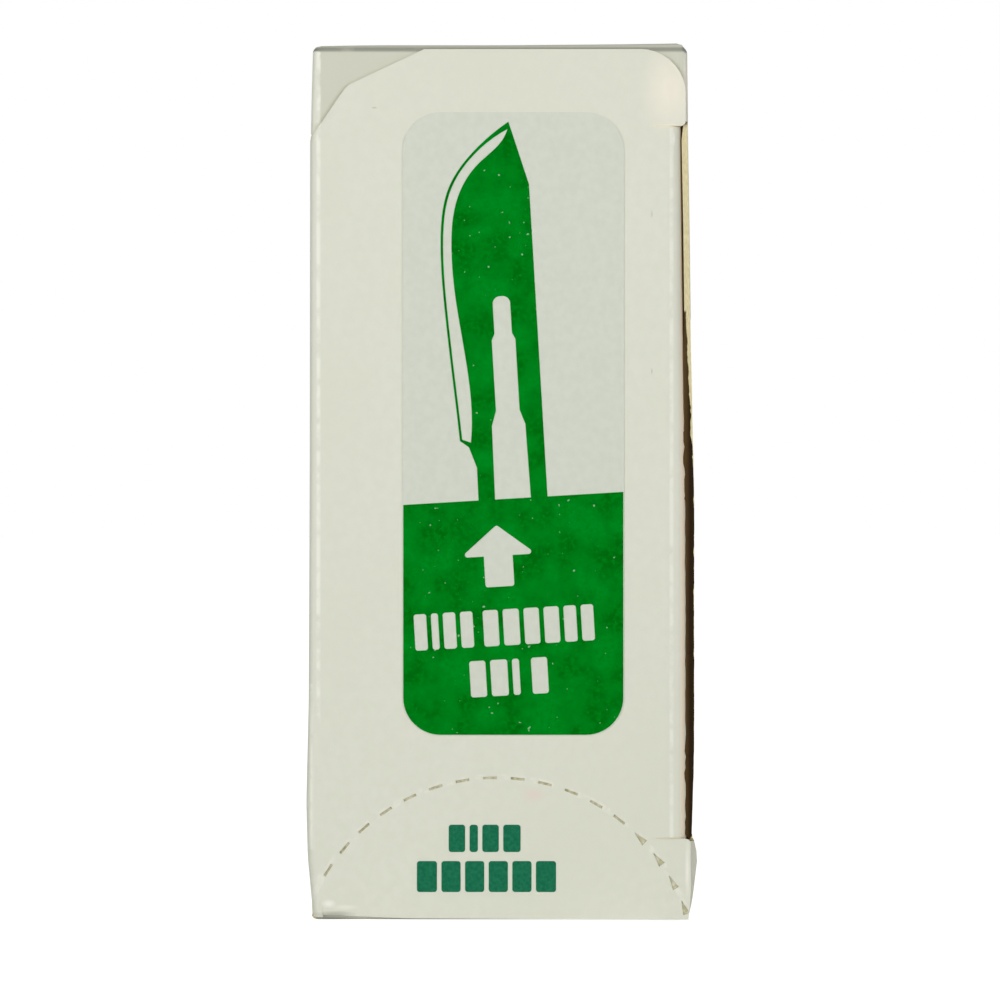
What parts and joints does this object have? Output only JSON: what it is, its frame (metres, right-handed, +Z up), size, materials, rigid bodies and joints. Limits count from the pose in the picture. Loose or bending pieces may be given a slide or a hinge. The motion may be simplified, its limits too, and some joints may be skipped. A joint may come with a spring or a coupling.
{
  "type": "folding carton for scalpel blades",
  "caption": "Upright folding carton for wrapped scalpel blades: a card sleeve with a side-hinged lid that tucks in between two slits, a perforated tear tab and a paper label.",
  "frame": {"origin": "centre of the carton's bottom wall, on the surface that it stands on", "axes": "+X towards the lid's free edge, +Y from the lid to the back, +Z up"},
  "size_m": [0.042, 0.0841, 0.0964],
  "materials": {
    "board": "smooth coated white face, cream raw edges, slightly yellowed",
    "label_paper": "smooth white self-adhesive paper",
    "green_ink": "slightly mottled solid green print",
    "teal_ink": "matt dark green print"
  },
  "bodies": {
    "carton": {"carton": "board"},
    "lid": {"lid": "board", "blade_label": "label_paper", "label_print": "green_ink", "tab_print": "teal_ink"}
  },
  "joints": [
    {"name": "lid_hinge", "type": "hinge", "parent": "carton", "child": "lid", "pos_m": [-0.021, -0.042, 0.0482], "axis": [0, 0, -1], "range_deg": [0, 180]}
  ]
}
